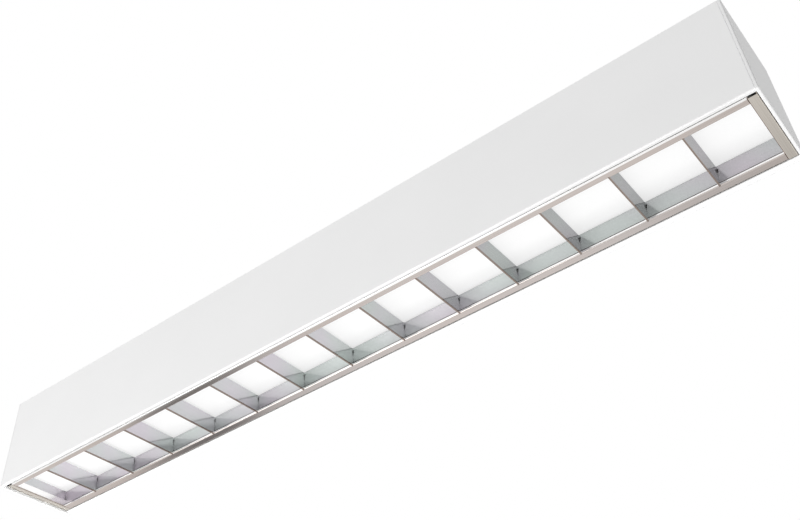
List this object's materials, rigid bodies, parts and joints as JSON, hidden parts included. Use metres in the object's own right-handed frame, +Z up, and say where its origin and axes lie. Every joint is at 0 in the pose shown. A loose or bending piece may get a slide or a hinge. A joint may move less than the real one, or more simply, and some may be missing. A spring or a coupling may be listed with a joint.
{
  "type": "linear ceiling light",
  "caption": "Long white ceiling light: folded housing with rounded end caps and a hinged aluminium blade louvre that swings down below an opal diffuser.",
  "frame": {"origin": "centre of the top face that lies against the ceiling, midway between the two ceiling bolt holes", "axes": "+X along the light to its right-hand end, +Y to the back where the louvre is hinged, +Z up to the ceiling"},
  "size_m": [1.2, 0.127, 0.145],
  "materials": {
    "white_housing": "white powder coat, smooth satin",
    "white_cap": "moulded white, satin",
    "zinc_sheet": "zinc plated sheet",
    "white_tray": "white gloss reflector paint",
    "steel_fasteners": "zinc plated",
    "black_rubber": "soft black",
    "board_white": "white solder mask",
    "led_yellow": "phosphor yellow",
    "connector_white": "moulded white",
    "driver_case": "moulded light grey",
    "earth_insulation": "green and yellow insulation",
    "mains_insulation": "brown and blue insulation",
    "led_insulation": "red and black insulation",
    "opal": "opal acrylic, lit from behind",
    "rail_satin": "satin anodised, warm grey",
    "reflector_bright": "semi-specular anodised sheet",
    "blade_bright": "semi-specular anodised sheet",
    "louver_fittings": "mill finish",
    "pin_steel": "bright steel",
    "catch_plastic": "moulded black"
  },
  "bodies": {
    "housing": {"housing_channel": "white_housing", "end_cap_left": "white_cap", "end_cap_right": "white_cap", "end_bracket_left": "zinc_sheet", "end_bracket_right": "zinc_sheet", "stiffener_plate_left": "zinc_sheet", "stiffener_plate_right": "zinc_sheet", "gear_tray": "white_tray", "end_cap_screws": "steel_fasteners", "tray_screws": "steel_fasteners", "board_screws": "steel_fasteners", "driver_screws": "steel_fasteners", "earth_stud": "steel_fasteners", "earth_nut": "steel_fasteners", "cable_bushing": "black_rubber", "tray_bushing": "black_rubber", "led_board_left": "board_white", "led_board_right": "board_white", "led_packages_left": "led_yellow", "led_packages_right": "led_yellow", "board_link": "connector_white", "led_connector": "connector_white", "terminal_block": "connector_white", "driver": "driver_case", "earth_lead": "earth_insulation", "mains_leads": "mains_insulation", "led_leads": "led_insulation", "diffuser": "opal"},
    "louver": {"side_rail_front": "rail_satin", "side_rail_back": "rail_satin", "end_rail_left": "rail_satin", "end_rail_right": "rail_satin", "side_reflector_front": "reflector_bright", "side_reflector_back": "reflector_bright", "end_reflector_left": "reflector_bright", "end_reflector_right": "reflector_bright", "cross_blade_01": "blade_bright", "cross_blade_02": "blade_bright", "cross_blade_03": "blade_bright", "cross_blade_04": "blade_bright", "cross_blade_05": "blade_bright", "cross_blade_06": "blade_bright", "cross_blade_07": "blade_bright", "cross_blade_08": "blade_bright", "cross_blade_09": "blade_bright", "cross_blade_10": "blade_bright", "cross_blade_11": "blade_bright", "cross_blade_12": "blade_bright", "cross_blade_13": "blade_bright", "corner_gussets": "louver_fittings", "rail_cleats": "louver_fittings", "louver_rivets": "louver_fittings", "hinge_pin_left": "pin_steel", "hinge_pin_right": "pin_steel", "catch_block_left": "catch_plastic", "catch_block_right": "catch_plastic"},
    "catch_left": {"catch_bolt_left": "pin_steel"},
    "catch_right": {"catch_bolt_right": "pin_steel"}
  },
  "joints": [
    {"name": "louver_hinge", "type": "hinge", "parent": "housing", "child": "louver", "pos_m": [0, 0.0525, -0.138], "axis": [1, 0, 0], "range_deg": [0, 90]},
    {"name": "catch_left_slide", "type": "slide", "parent": "louver", "child": "catch_left", "axis": [-1, 0, 0], "range_m": [0, 0.003]},
    {"name": "catch_right_slide", "type": "slide", "parent": "louver", "child": "catch_right", "axis": [1, 0, 0], "range_m": [0, 0.003]}
  ]
}
